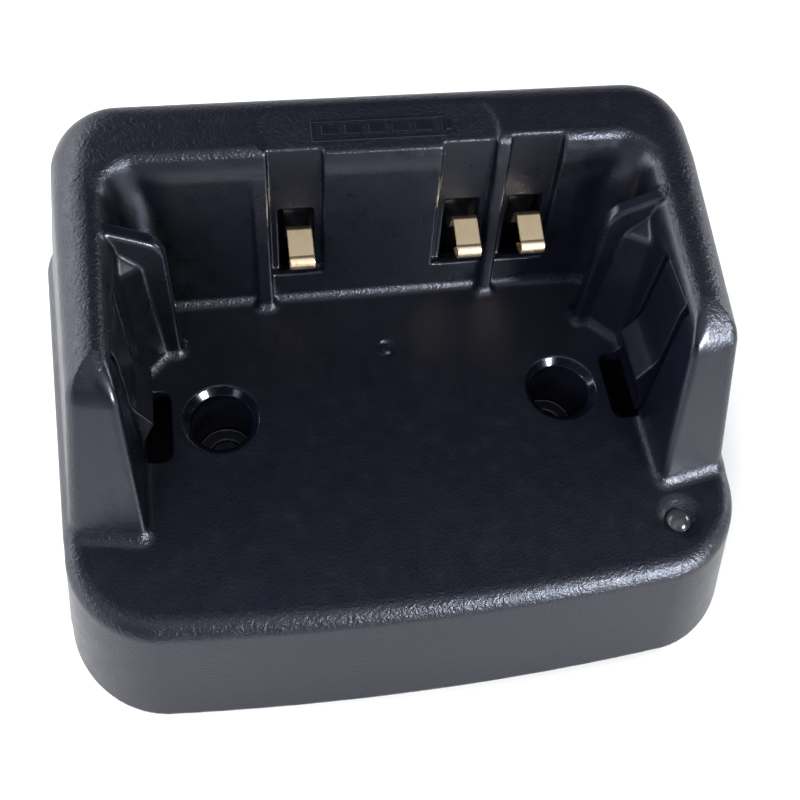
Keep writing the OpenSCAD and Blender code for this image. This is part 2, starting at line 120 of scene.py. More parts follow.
def either(*fields):
    """Sharp union."""
    return reduce(np.minimum, fields)


def within(x, span):
    low, high = span
    return np.abs(x - (low + high) / 2) - (high - low) / 2


# ------------------------------------------------------------- surface nets
BLOCK = 8                                       # samples along a block
BLOCK_SLACK = 1.35                              # allows for uneven gradients
BATCH = 1500                                    # blocks sampled at a time
CORNERS = list(np.ndindex(2, 2, 2))


def sample_grid(field, low, high, pitch):
    """Field values on a grid, coarse in the blocks far from the surface."""
    count = np.ceil(((high - low) / pitch + 1) / BLOCK).astype(int)
    centres = np.meshgrid(*(low[i] + ((np.arange(count[i]) + 0.5) * BLOCK - 0.5) * pitch
                            for i in range(3)), indexing="ij")
    coarse = field(*(c.ravel() for c in centres)).reshape(centres[0].shape)
    near = np.abs(coarse) < BLOCK * pitch * math.sqrt(3) / 2 * BLOCK_SLACK + pitch
    grid = np.empty((*count, BLOCK, BLOCK, BLOCK), np.float32)
    grid[...] = coarse[:, :, :, None, None, None]
    blocks = np.argwhere(near)
    offsets = np.meshgrid(*[np.arange(BLOCK) * pitch] * 3, indexing="ij")
    for start in range(0, len(blocks), BATCH):
        part = blocks[start:start + BATCH]
        base = low + part * (BLOCK * pitch)
        values = field(*((base[:, i, None] + offsets[i].ravel()[None]).ravel()
                         for i in range(3)))
        grid[tuple(part.T)] = values.reshape(len(part), BLOCK, BLOCK, BLOCK)
    return grid.transpose(0, 3, 1, 4, 2, 5).reshape(*(count * BLOCK))


def surface_cells(inside):
    """Cells with corners on both sides of the surface, and a grid of their numbers."""
    shape = [n - 1 for n in inside.shape]
    count = np.zeros(shape, np.uint8)
    for corner in CORNERS:
        count += inside[tuple(slice(k, k + n) for k, n in zip(corner, shape))]
    cells = np.argwhere((count > 0) & (count < 8))
    number = np.full(shape, -1, np.int64)
    number[tuple(cells.T)] = np.arange(len(cells))
    return cells, number


def crossing_means(grid, cells):
    """Mean of the edge crossings in each cell, in cell units."""
    total = np.zeros((len(cells), 3))
    hits = np.zeros(len(cells))
    value = {c: grid[tuple((cells + c).T)].astype(np.float64) for c in CORNERS}
    for corner in CORNERS:
        for axis in range(3):
            if corner[axis]:
                continue
            start = value[corner]
            end = value[corner[:axis] + (1,) + corner[axis + 1:]]
            cross = (start < 0) != (end < 0)
            points = np.tile(np.array(corner, np.float64), (cross.sum(), 1))
            points[:, axis] += start[cross] / (start[cross] - end[cross])
            total[cross] += points
            hits[cross] += 1
    return total / hits[:, None]


def net_quads(inside, number):
    """One quad round each grid edge that crosses the surface."""
    quads = []
    for axis in range(3):
        near = [slice(1, n - 1) for n in inside.shape]
        far = list(near)
        near[axis] = slice(0, inside.shape[axis] - 1)
        far[axis] = slice(1, inside.shape[axis])
        start = inside[tuple(near)]
        edges = np.argwhere(start != inside[tuple(far)])
        offset = np.ones(3, int)
        offset[axis] = 0
        outward = start[tuple(edges.T)]
        sides = []
        for shift in ((-1, -1), (0, -1), (0, 0), (-1, 0)):
            cell = edges + offset
            cell[:, (axis + 1) % 3] += shift[0]
            cell[:, (axis + 2) % 3] += shift[1]
            sides.append(number[tuple(cell.T)])
        faces = np.stack(sides, 1)
        faces[~outward] = faces[~outward][:, ::-1]
        quads.append(faces)
    quads = np.concatenate(quads)
    return quads[(quads >= 0).all(1)]


def polish(field, verts, pitch):
    """Moves vertices down the gradient onto the surface."""
    probe = pitch * 0.1
    here = field(*verts.T)
    slope = np.stack([field(*(verts + shift).T) - here for shift in np.eye(3) * probe], 1) / probe
    move = -(here / np.maximum((slope * slope).sum(1), 0.2))[:, None] * slope
    length = np.linalg.norm(move, axis=1)
    return verts + move * np.minimum(1.0, 0.6 * pitch / np.maximum(length, 1e-9))[:, None]


def field_mesh(field, box, margin, pitch):
    """Vertices, kept within the box, and quads of the surface field = 0."""
    low = box[0] - margin
    grid = sample_grid(field, low, box[1] + margin, pitch)
    inside = grid < 0
    cells, number = surface_cells(inside)
    verts = low + (cells + crossing_means(grid, cells)) * pitch
    for _ in range(2):
        verts = polish(field, verts, pitch)
    return np.clip(verts, *box), net_quads(inside, number)


# ------------------------------------------------------------- mesh objects
def new_mesh(name, verts, faces, material, smooth=True):
    """Faces are an array of quads, or a list of mixed polygons."""
    mesh = bpy.data.meshes.new(name)
    verts = np.asarray(verts, np.float64) * MM
    if isinstance(faces, np.ndarray):
        mesh.vertices.add(len(verts))
        mesh.vertices.foreach_set("co", verts.astype(np.float32).ravel())
        mesh.loops.add(faces.size)
        mesh.loops.foreach_set("vertex_index", faces.astype(np.int32).ravel())
        mesh.polygons.add(len(faces))
        starts = np.arange(len(faces)) * faces.shape[1]
        mesh.polygons.foreach_set("loop_start", starts.astype(np.int32))
        mesh.update(calc_edges=True)
        mesh.validate()
    else:
        mesh.from_pydata([tuple(p) for p in verts], [], faces)
        mesh.update()
    mesh.polygons.foreach_set("use_smooth", [smooth] * len(mesh.polygons))
    mesh.materials.append(material)
    return link(name, mesh)


def link(name, data):
    ob = bpy.data.objects.new(name, data)
    bpy.context.scene.collection.objects.link(ob)
    return ob


def place(ob, ride, replaces=None):
    if replaces:
        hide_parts(replaces)
    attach(ob, ride)


def lathe(name, profile, centre, material, segments=64):
    """Turns (radius, z) pairs about a vertical axis; the ends lie on it."""
    verts, faces, rows = [], [], []
    for radius, height in profile:
        first = len(verts)
        if radius < 1e-6:
            verts.append((0, 0, height))
        else:
            for k in range(segments):
                angle = 2 * math.pi * k / segments
                verts.append((radius * math.cos(angle), radius * math.sin(angle), height))
        rows.append(range(first, len(verts)))
    for row, above in zip(rows, rows[1:]):
        for k in range(segments):
            after = (k + 1) % segments
            if len(row) == 1:
                faces.append((row[0], above[after], above[k]))
            elif len(above) == 1:
                faces.append((row[k], row[after], above[0]))
            else:
                faces.append((row[k], row[after], above[after], above[k]))
    return new_mesh(name, np.array(verts) + np.array((*centre, 0)), faces, material)


def rounded(profile, radius, steps=4):
    """Rounds the inner corners of an open profile with quadratic curves."""
    points = [profile[0]]
    for trio in zip(profile, profile[1:], profile[2:]):
        before, corner, after = (np.array(p, float) for p in trio)
        back = np.linalg.norm(before - corner)
        ahead = np.linalg.norm(after - corner)
        reach = min(radius, back * 0.45, ahead * 0.45)
        start = corner + (before - corner) / back * reach
        end = corner + (after - corner) / ahead * reach
        for k in range(steps + 1):
            t = k / steps
            points.append(tuple((1 - t) ** 2 * start + 2 * t * (1 - t) * corner + t * t * end))
    points.append(profile[-1])
    return points


# ---------------------------------------------------------------- materials
class Graph:
    """Adds nodes to the tree of a material or world."""

    def __init__(self, owner):
        owner.use_nodes = True
        self.owner = owner
        self.nodes = owner.node_tree.nodes
        self.link = owner.node_tree.links.new

    def feed(self, node, inputs):
        """Sets inputs to values, or links sockets to them."""
        for key, value in inputs.items():
            if isinstance(value, bpy.types.NodeSocket):
                self.link(value, node.inputs[key])
            else:
                node.inputs[key].default_value = value

    def add(self, kind, inputs={}, **settings):
        node = self.nodes.new("ShaderNode" + kind)
        for key, value in settings.items():
            setattr(node, key, value)
        self.feed(node, inputs)
        return node

    def principled(self, **inputs):
        """Input names are written with _ for a space."""
        self.feed(self.nodes["Principled BSDF"],
                  {key.replace("_", " "): value for key, value in inputs.items()})

    def coords(self, scale=(1, 1, 1)):
        place_in = self.add("TexCoord").outputs["Object"]
        return self.add("Mapping", {"Vector": place_in, "Scale": scale}).outputs["Vector"]

    def noise(self, vector, scale, detail=2.0, roughness=0.5, distortion=0.0):
        return self.add("TexNoise", {"Vector": vector, "Scale": scale, "Detail": detail,
                                     "Roughness": roughness,
                                     "Distortion": distortion}).outputs["Fac"]

    def math(self, operation, a, b=None):
        inputs = {0: a} if b is None else {0: a, 1: b}
        return self.add("Math", inputs, operation=operation).outputs[0]

    def ramp(self, value, start, end, to):
        """Maps start..end onto the pair to, clamped."""
        return self.add("MapRange", {"Value": value, "From Min": start, "From Max": end,
                                     "To Min": to[0], "To Max": to[1]},
                        clamp=True).outputs["Result"]

    def mix(self, share, first, second):
        return self.add("Mix", {0: share, 6: first, 7: second}, data_type="RGBA").outputs[2]

    def surface(self, height, strength, distance, colour, rough, wear, spread):
        """Bump, colour, and a roughness varied over spread by the wear noise."""
        bump = self.add("Bump", {"Height": height, "Strength": strength, "Distance": distance})
        varied = self.math("ADD", rough, self.ramp(wear, 0.3, 0.7, to=spread))
        self.principled(Normal=bump.outputs["Normal"], Base_Color=colour, Roughness=varied)


def new_graph(name):
    return Graph(bpy.data.materials.new(name))


def tone(base, factor=1):
    return tuple(min(1, c * factor) for c in base) + (1,)


def abs_plastic(name, base, rough, grain, grain_attr=None):
    """Injection-moulded ABS: spark grain, slight tone drift and dust.

    Up to 0.5 the attribute brings in fine grain, above it a coarse wrinkle.
    """
    g = new_graph(name)
    vector = g.coords()
    grain_size = 0.42
    cell = g.noise(vector, scale=1000.0 / grain_size, detail=3.0, roughness=0.62)
    fine = g.noise(vector, scale=3000.0 / grain_size)
    drift = g.noise(vector, scale=55.0, detail=4.0, roughness=0.6)
    patch = g.noise(vector, scale=420.0, detail=3.0, roughness=0.6)

    def speckle():
        return g.math("ADD", cell, g.math("MULTIPLY", fine, 0.25))

    if grain_attr:
        amount = g.add("Attribute", attribute_name=grain_attr).outputs["Fac"]
        coarse = g.noise(vector, scale=1000.0 / 0.85, distortion=0.4)
        fold = g.math("ABSOLUTE", g.math("SUBTRACT", coarse, 0.5))
        wrinkle_share = g.ramp(amount, 0.5, 1.0, to=(0.0, 1.0))
        speckle_share = g.ramp(amount, 0.0, 0.5, to=(0.0, 1.0))
        wrinkle = g.math("MULTIPLY", g.math("SUBTRACT", fold, 0.07), wrinkle_share)
        wrinkle = g.math("MULTIPLY", wrinkle, 1.5 * grain)
        spots = g.math("MULTIPLY", g.math("SUBTRACT", speckle(), 0.62), speckle_share)
        spots = g.math("MULTIPLY", spots, 0.55 * grain)
        height = g.math("ADD", wrinkle, spots)
        polished = g.ramp(amount, 0.0, 0.12, to=(-0.14, 0.0))
        rough = g.math("ADD", polished,
                       g.math("ADD", g.math("MULTIPLY", amount, 0.10), rough - 0.08))
    else:
        height = g.math("MULTIPLY", speckle(), grain)
    colour = g.mix(g.ramp(drift, 0.3, 0.7, to=(0, 1)), tone(base, 0.86), tone(base, 1.16))
    dust = g.ramp(patch, 0.62, 0.8, to=(0, 0.02))
    colour = g.mix(dust, colour, (0.12, 0.12, 0.13, 1))
    g.surface(height, strength=1.0, distance=0.00012, colour=colour, rough=rough,
              wear=patch, spread=(-0.035, 0.045))
    g.principled(Specular_IOR_Level=0.57, Specular_Tint=(0.84, 0.86, 1.0, 1.0))
    return g.owner


def metal(name, base, rough, brush=(1, 1, 1), strength=0.25, scale=3000.0, tarnish=0.15):
    """Metal with fine marks drawn out along the small axes of brush."""
    g = new_graph(name)
    marks = g.noise(g.coords(brush), scale=scale, detail=4.0, roughness=0.6)
    broad = g.noise(g.coords(), scale=scale * 0.08, detail=3.0, roughness=0.6)
    colour = g.mix(g.ramp(broad, 0.35, 0.7, to=(0, tarnish)), tone(base), tone(base, 0.6))
    g.surface(marks, strength=strength, distance=0.00003, colour=colour, rough=rough,
              wear=marks, spread=(-0.06, 0.08))
    g.principled(Metallic=1.0)
    return g.owner


def resin(name, base, rough, scale=900.0, strength=0.2, vary=0.18, specular=0.5):
    """Opaque plastic, rubber or coating; vary is the tone drift."""
    g = new_graph(name)
    vector = g.coords()
    marks = g.noise(vector, scale=scale, detail=4.0, roughness=0.6)
    broad = g.noise(vector, scale=scale * 0.15)
    colour = g.mix(g.ramp(broad, 0.3, 0.7, to=(0, 1)), tone(base, 1 - vary), tone(base, 1 + vary))
    g.surface(marks, strength=strength, distance=0.00004, colour=colour, rough=rough,
              wear=marks, spread=(-0.05, 0.06))
    g.principled(Specular_IOR_Level=specular)
    return g.owner


def clear_resin(name, base, rough, transmission):
    g = new_graph(name)
    marks = g.noise(g.coords(), scale=1200.0, detail=3.0)
    colour = g.mix(g.ramp(marks, 0.3, 0.7, to=(0, 1)), tone(base), tone(base, 0.85))
    g.surface(marks, strength=0.12, distance=0.00003, colour=colour, rough=rough,
              wear=marks, spread=(-0.02, 0.04))
    g.principled(Transmission_Weight=transmission, IOR=1.49)
    return g.owner


NEAR_BLACK = (0.0030, 0.0034, 0.0074)
CASE = abs_plastic("case_abs", NEAR_BLACK, rough=0.36, grain=1.0, grain_attr="grain")
TONGUE = abs_plastic("tongue_abs", NEAR_BLACK, rough=0.31, grain=0.17)
COVER = abs_plastic("cover_abs", (0.0075, 0.0082, 0.0130), rough=0.46, grain=0.4)
GOLD = metal("gold_leaf", (0.93, 0.74, 0.48), rough=0.32, brush=(1, 0.15, 0.15),
             strength=0.12, scale=5200.0, tarnish=0.12)
# near-black colour painted on the leaf shank behind the window as shade, not a coating
SHANK = resin("shank_painted_shade", (0.006, 0.006, 0.007), rough=0.55, scale=2200.0, specular=0.25)
TERMINAL = metal("gold_terminal", (0.72, 0.52, 0.28), rough=0.3, brush=(1, 1, 0.2),
                 scale=4000.0, tarnish=0.3)
RIVET = metal("brass_rivet", (0.62, 0.46, 0.24), rough=0.32)
SCREW = metal("zinc_screw", (0.58, 0.58, 0.60), rough=0.33)
JACK_METAL = metal("nickel", (0.64, 0.63, 0.60), rough=0.25)
CAN = metal("capacitor_can", (0.74, 0.74, 0.76), rough=0.3, brush=(1, 1, 0.2), strength=0.2)
CARRIER = resin("carrier_plastic", (0.018, 0.018, 0.020), rough=0.5)
BOARD = resin("board_mask", (0.015, 0.14, 0.055), rough=0.3, scale=600.0, strength=0.15)
CHIP = resin("chip_epoxy", (0.018, 0.018, 0.018), rough=0.55, scale=2500.0)
FERRITE = resin("ferrite", (0.055, 0.055, 0.06), rough=0.6, scale=2500.0, strength=0.4)
FUSE = resin("fuse_coat", (0.52, 0.42, 0.08), rough=0.45, scale=1500.0)
JACK = resin("jack_black", (0.016, 0.016, 0.017), rough=0.4, scale=1500.0)
BLACK_WIRE = resin("wire_black", (0.015, 0.015, 0.015), rough=0.35, scale=800.0)
YELLOW_WIRE = resin("wire_yellow", (0.62, 0.46, 0.04), rough=0.35, scale=800.0)
RED_WIRE = resin("wire_red", (0.42, 0.02, 0.018), rough=0.35, scale=800.0)
RUBBER = resin("foot_rubber", (0.016, 0.016, 0.017), rough=0.72, scale=2600.0,
               strength=0.5, vary=0.25, specular=0.3)
LABEL = metal("label_foil", (0.55, 0.55, 0.57), rough=0.42, brush=(0.15, 1, 1), scale=2600.0)
LED = clear_resin("led_clear", (0.86, 0.90, 0.86), rough=0.1, transmission=0.7)
PIPE = clear_resin("pipe_clear", (0.05, 0.052, 0.062), rough=0.18, transmission=0.35)


# --------------------------------------------------------------------- case
def plane_through(points):
    """Normal and offset of a plane with the inside of the web behind it."""
    points = np.array(points, float)
    centre = points.mean(0)
    normal = np.linalg.svd(points - centre)[2][2]
    if np.dot(np.array((36, 14, 5), float) - centre, normal) > 0:
        normal = -normal
    return normal, np.dot(normal, centre)


# (side, y, rise) points on the two faces of the corner webs
WEB_PLANES = [
    plane_through([(32.2, 10.8, 0), (35.7, 7.6, 0), (33.4, 13.7, 18.6), (35.9, 10.5, 19.2)]),
    plane_through([(36.2, 14, 21.3), (33.4, 13.7, 18.6), (35.7, 10.6, 19.2)]),
]


def skirt_plan(x, y, z):
    """Outline of the skirt, which narrows from z = 0 up to the deck."""
    level = np.clip(z / DECK, -0.2, 1.0)
    front = (-38 + 6.75 * level + x * x / 840 - y) * 0.965
    flank = (np.abs(x) - (48.5 - 1.9 * level + (0.03 + 0.03 * level) * (y + 15))) * 0.992
    back = y - (37.3 - 0.4 * level)
    return meet(meet(front, flank, 12.6 - 1.6 * level), back, 8.6)


def outer_flank(x, y, rise):
    return (np.abs(x - 0.020 * np.clip(rise, 0, 24)) - (46.6 - 0.172 * rise + 0.060 * y)) * 0.984


def wall_front(side, y, rise):
    return (-16.9 + 0.47 * rise + (side - 37) * 0.18 - y) / 1.12


def rim_plane(y, rise):
    return (rise - (RIM_RISE + RIM_TILT * y)) * 0.9943


def inner_flank(side, y, rise):
    """Inner side face, flared below the rim."""
    upright = side - (35.6 + 0.0286 * rise)
    flare = (side - (36.35 + 0.69 * (rise - (21.65 + RIM_TILT * y)))) * 0.823
    return join(upright, flare, 0.8)


def wall_shell(x, y, rise):
    """The plain U-shaped wall."""
    side = np.abs(x)
    front = wall_front(side, y, rise)
    back = y - (36.7 - 0.0205 * (rise + 1.5))
    outer = meet(meet(outer_flank(x, y, rise), back, 8.8), front, 1.2)
    outer = meet(outer, rim_plane(y, rise), 4.1 + 1.7 * np.clip((y - 22) / 8, 0, 1))
    inner_back = join((y - (BACK_Y + BACK_LEAN * rise)) * 0.9877,
                      (y - (23.5 + 0.4643 * (rise - 23.6))) * 0.907, 0.35)
    void = meet(inner_flank(side, y, rise), inner_back, 5.5)
    return cut(outer, void, 0.75 + 0.5 * np.clip(1 + front / 3.5, 0, 1))


def corner_guides(side, y, rise):
    """Guide blocks in the inner corners, with 45 degree webs."""
    inner = 29.8 + 0.008 * rise - side
    front = (11.25 + 0.127 * rise - y) * 0.992
    top = (rise - (22.1 + 0.44 * (side - 31.2))) * 0.915
    back = (y - (13.4 + 0.127 * rise)) * 0.992
    block = meet(meet(inner, top, 1.8), meet(front, back, 0.3), 0.55)
    block = every(block, rise - 24.8, side - 38)
    faces = [side * normal[0] + y * normal[1] + rise * normal[2] - offset
             for normal, offset in WEB_PLANES]
    web = every(meet(*faces, 0.4), back, side - 38, 31.0 - side)
    return join(block, web, 0.3)


def wall_field(x, y, rise):
    wall = join(wall_shell(x, y, rise), corner_guides(np.abs(x), y, rise), 0.5)
    for span in RIBS:
        rib = meet(within(x, span), (18.1 + 0.2345 * rise - y) * 0.974, 0.4)
        wall = join(wall, every(rib, rise - 23.2, y - 25.6), 0.35)
    return wall


def hollows(x, y, z, plan):
    """Space under the deck and inside the walls, less the posts in it."""
    side = np.abs(x)
    rise = z - DECK
    under = every(plan + np.where(z < 2.0, 1.9, 2.4), rise + 2.5)
    back = every(22.9 + 0.1581 * rise - y, rise - 23.9, y - (34.1 - 0.023 * rise),
                 (y - 31.4) * 0.723 + (rise - 23.9) * 0.691, side - 28.5, -rise - 4)
    flank = every(37.75 - side, outer_flank(x, y, rise) + 2.3, wall_front(side, y, rise) + 3.0,
                  rim_plane(y, rise) + 2.4, rise - 22.3, y - 20, -rise - 4)
    posts = every(np.hypot(side - FIXING_X, y) - 6.2, 2.0 - z)
    for post_x, post_y, radius, foot, _, _ in POSTS:
        posts = either(posts, every(np.hypot(side - post_x, y - post_y) - radius, foot - z))
    return cut(either(under, back, flank), posts, 0.4)


def cut_channels(body, x, y, rise):
    """Contact channels, each with a stepped sill and a window."""
    for channel_span, window_span in zip(CHANNELS, WINDOWS):
        back = (y - (21.2 + BACK_LEAN * rise)) * 0.9877
        channel = meet(meet(within(x, channel_span), back, 0.25), 4.8 - rise, 0.25)
        body = cut(body, every(channel, 10 - y), 0.22)
        sill = np.where(y < BACK_Y + BACK_LEAN * rise + 1.15, 4.8 - rise, 3.6 - rise)
        window = every(meet(within(x, window_span), rise - 15.7, 0.3), sill, 20.5 - y, y - 28)
        body = cut(body, window, 0.2)
    return body


def rim_flat(x, y, rise):
    cos, sin = math.cos(FLAT_TILT), math.sin(FLAT_TILT)
    above = -(y - FLAT_Y) * sin + (rise - FLAT_RISE) * cos
    along = (y - FLAT_Y) * cos + (rise - FLAT_RISE) * sin
    half = 16.7 - 0.085 * (along - 2.3) ** 2 + 1.5 * np.minimum(rim_plane(y, rise), 0)
    ends = (np.abs(x + 0.3) - half) * 0.555
    return every(meet(ends, -above, 0.3), -along - 3, along - 9)


def tongue_openings(side, y, rise):
    """Windows for the snap tongues, with the slots at their feet."""
    front = (-5.2 + 0.1516 * (rise - 2) - y) * 0.988
    back = (y - (5.5 + 0.1037 * (rise - 2))) * 0.994
    window = every(meet(front, back, 0.5), rise - 21.6, 2 - rise, 34 - side, side - 38.3)
    slot = meet(np.abs(y + 0.3) - 5.5, 32 - side, 1.6)
    slot = every(slot, side - 37.95, rise - np.where(side < 35.4, 4.0, 0.05), -rise - 4)
    foot = every(np.abs(y - 0.1) - 5.3, 35.2 - side, side - 38.3, -rise - 1, rise - 3)
    return either(window, slot, foot)


def fixing_holes(side, y, z):
    """Counterbore from below, through hole and countersink from above."""
    rise = z - DECK
    reach = np.hypot(side - FIXING_X, y)
    sink = every((reach - (4.3 + rise + 1.15)) * 0.707, -rise - 1.15, rise - 0.6)
    return either(every(reach - 4.3, 4.5 - z, rise - 0.6), every(reach - 2.25, z - 6), sink)


def case_field(x, y, z):
    side = np.abs(x)
    rise = z - DECK
    plan = skirt_plan(x, y, z)
    skirt = meet(meet(plan, rise, 1.9), -z, 0.4)
    body = join(skirt, wall_field(x, y, rise), 1.3)
    body = cut(body, hollows(x, y, z, plan), 0.3)
    body = cut_channels(body, x, y, rise)
    body = cut(body, rim_flat(x, y, rise), 0.2)
    body = cut(body, tongue_openings(side, y, rise), 0.3 - 0.27 * np.clip(rise - 20, 0, 1))
    body = cut(body, fixing_holes(side, y, z), 0.07)
    # indicator dish and hole
    dish = np.sqrt((x - PIPE_X - 0.3) ** 2 + (y - PIPE_Y - 0.6) ** 2 + (rise - 6.1) ** 2) - 6.8
    body = cut(body, dish, 0.3)
    body = cut(body, every(np.hypot(x - PIPE_X, y - PIPE_Y) - 1.8, -rise - 4), 0.12)
    # ring-shaped gate mark, then the power socket hole in the back
    ring = np.abs(np.hypot(x, y - 9.35) - 1.06) - 0.24
    body = cut(body, meet(ring, -rise - 0.38, 0.08), 0.06)
    body = cut(body, every(np.hypot(x, z - 10.8) - 4.15, 30 - y), 0.3)
    for post_x, post_y, _, _, radius, top in POSTS:
        hole = every(np.hypot(side - post_x, y - post_y) - radius, z - top)
        body = np.maximum(body, -hole)
    return body


def smooth_step(value, start, end):
    t = np.clip((value - start) / (end - start), 0, 1)
    return t * t * (3 - 2 * t)


def case_grain(x, y, z):
    """Strength of the moulded grain: coarse at 1, polished at 0."""
    rise = z - DECK
    side = np.abs(x)
    plan = skirt_plan(x, y, z)
    below_rim = (RIM_RISE + RIM_TILT * y) - rise
    front_face = (smooth_step(wall_front(side, y, rise), -0.9, -0.5)
                  * smooth_step(rise, 1.2, 2.2) * (1 - smooth_step(rise, 20.3, 21.8))
                  * (1 - smooth_step(side, 44.3 - 0.142 * rise, 45.0 - 0.142 * rise)))
    skirt_face = (1 - smooth_step(rise, -1.9, -1.2)) * (plan > -0.5)
    inner_wall = ((side < 38.5) & (rise > 0.9) & (below_rim > 0.9) & (y > -17)
                  & ((y > 17) | (side > 35) | ((side > 29) & (y > 7)))
                  & (y < 25.2 + 0.35 * (rise - 23.6).clip(0)))
    grain = (1 - front_face) + 0.36 * front_face
    grain = grain * (1 - skirt_face) + 0.42 * skirt_face
    grain[inner_wall] = 0.16
    grain[(rise > -0.3) & (rise < 0.12) & (plan < -2.3)] = 0.40              # deck
    grain[(rise < -0.03) & (np.hypot(side - FIXING_X, y) < 6.0)] = 0.0       # fixing holes
    grain[(rise < -2.0) & (plan < -1.0)] = 0.2                               # underside
    return grain


def build_case():
    verts, quads = field_mesh(case_field, CASE_BOX, margin=1.1,
                              pitch=0.28)
    case = new_mesh("case_shell", verts, quads, CASE)
    place(case, "cradle", replaces="upper_case")
    attribute = case.data.attributes.new("grain", "FLOAT", "POINT")
    attribute.data.foreach_set("value", case_grain(*verts.T).astype(np.float32))


# Raised battery outline: x from, x to, y from, y to on the rear flat
EMBLEM_BARS = [
    (-9.6, 8.8, 1.2, 1.7), (-9.6, 8.8, -1.7, -1.2),
    (-9.6, -9.1, -1.2, 1.2), (8.3, 8.8, -1.2, 1.2),
    (8.8, 9.7, -0.7, 0.7),
] + [(left, left + 2.2, -0.7, 0.7) for left in (-8.2, -5.0, -1.8, 1.4, 4.6)]


def build_emblem():
    cos, sin = math.cos(FLAT_TILT), math.sin(FLAT_TILT)
    height, edge = 0.22, 0.09
    centre = 3.3                                # up the flat from its lower edge
    # inset and height of the rings that make a bar with a broken top edge
    rings = [(0.0, -0.25), (0.0, height - edge), (edge * 0.35, height - edge * 0.3),
             (edge, height)]
    verts, faces = [], []
    for x0, x1, y0, y1 in EMBLEM_BARS:
        base = len(verts)
        for inset, lift in rings:
            left, right, low, high = x0 + inset, x1 - inset, y0 + inset, y1 - inset
            for x, y in ((left, low), (right, low), (right, high), (left, high)):
                along = y + centre
                verts.append((x, FLAT_Y + along * cos - lift * sin,
                              DECK + FLAT_RISE + along * sin + lift * cos))
        top = base + 4 * (len(rings) - 1)
        for ring in range(base, top, 4):
            for j in range(4):
                a, b = ring + j, ring + (j + 1) % 4
                faces.append((a, b, b + 4, a + 4))
        faces.append(tuple(range(top, top + 4)))
        faces.append((base + 3, base + 2, base + 1, base))
    place(new_mesh("case_emblem", verts, faces, TONGUE, smooth=False), "cradle")


# -------------------------------------------------------------- snap tongues
# (x, rise) of the hook on the right tongue
HOOK_FOOT = (35.85, 1.7)
HOOK_TIP = (33.62, 6.5)
HOOK_TOP = (35.95, 10.3)
TONGUE_FOOT = 0.9                               # depth of the foot below the deck


def tongue_field(x, y, z):
    rise = z - DECK
    from_foot = rise + TONGUE_FOOT
    front = (-4.51 + 0.1469 * from_foot - y) * 0.989
    back = (y - (4.34 + 0.0915 * from_foot)) * 0.996
    (foot_x, foot), (tip_x, tip), (top_x, top) = HOOK_FOOT, HOOK_TIP, HOOK_TOP
    under = (foot_x - (rise - foot) * (foot_x - tip_x) / (tip - foot) - x) * 0.907
    upper = (tip_x + (rise - tip) * (top_x - tip_x) / (top - tip) - x) * 0.852
    hook = meet(meet(under, upper, 0.28), x - 36.6, 0.05)
    plate = every(-inner_flank(x, y, rise) - 0.012, x - (37.35 + 0.0181 * from_foot))
    body = join(plate, hook, 0.5)
    body = meet(body, meet(front, back, 0.1), 0.16)
    return np.maximum(meet(body, -rise - TONGUE_FOOT, 0.3), rise - 22.1)


def build_tongues():
    verts, quads = field_mesh(tongue_field, TONGUE_BOX, margin=0.6,
                              pitch=0.16)
    for mirror, hand in ((1, "right"), (-1, "left")):
        faces = np.ascontiguousarray(quads[:, ::mirror])
        ob = new_mesh("tongue_" + hand, verts * np.array([mirror, 1, 1]), faces, TONGUE)
        place(ob, "tongue_" + hand, replaces="latch_" + hand)


# ------------------------------------------------------------ contact leaves
LEAF_THICKNESS = 0.4
# centre line of the leaf behind its nose: y, rise
LEAF_SHANK = [
    (28.9, 19.6 - 0.25), (28.9 - 0.1, 16), (28.4, 11.9), (28.0, 10.8), (27.1, 10.2),
    (24.2, 10.1), (23.3, 10.4), (22.75, 11.2), (22.5, 13.0), (22.15, 13.85), (21.3, 14.15),
]
NOSE_Y, NOSE_RISE, NOSE_RADIUS = 17.3, 12.2, 0.9


def leaf_path():
    """(y, z) along the leaf: the shank with its corners cut twice, then the nose."""
    points = [(y, DECK + rise) for y, rise in LEAF_SHANK]
    for _ in range(2):
        finer = [points[0]]
        for a, b in zip(points[:-1], points[1:]):
            finer += [(a[0] * near + b[0] * far, a[1] * near + b[1] * far)
                      for near, far in ((0.75, 0.25), (0.25, 0.75))]
        points = finer + [points[-1]]
    for degrees in range(80, 258, 11):
        angle = math.radians(degrees)
        points.append((NOSE_Y + NOSE_RADIUS * math.cos(angle),
                       DECK + NOSE_RISE + NOSE_RADIUS * math.sin(angle)))
    points.append((18.6, DECK + 11.0))
    return np.array(points)


def build_leaf(node):
    box = low, high = mm_box(node)
    centre = (low[0] + high[0]) / 2
    width = high[0] - low[0]
    path = leaf_path()

    def leaf_field(x, y, z):
        reach = np.full(x.shape, 1e9)
        for a, b in zip(path[:-1], path[1:]):
            run = b - a
            t = np.clip(((y - a[0]) * run[0] + (z - a[1]) * run[1]) / (run @ run), 0, 1)
            reach = np.minimum(reach, np.hypot(y - a[0] - t * run[0], z - a[1] - t * run[1]))
        return meet(reach - LEAF_THICKNESS / 2, np.abs(x - centre) - width / 2, 0.14)

    verts, quads = field_mesh(leaf_field, box, margin=0.4, pitch=0.1)
    name = "leaf_" + node.split("_")[-1]
    ob = new_mesh(name, verts, quads, GOLD)
    # the shank behind the window is painted near-black as shade, since the hollow keeps the light
    # off it
    ob.data.materials.append(SHANK)
    middle = verts[quads].mean(1)
    in_shade = (middle[:, 1] > 22.72) & (middle[:, 2] < DECK + 19)
    ob.data.polygons.foreach_set("material_index",
                                 in_shade.astype(np.int32)[:len(ob.data.polygons)])
    place(ob, name, replaces=node)


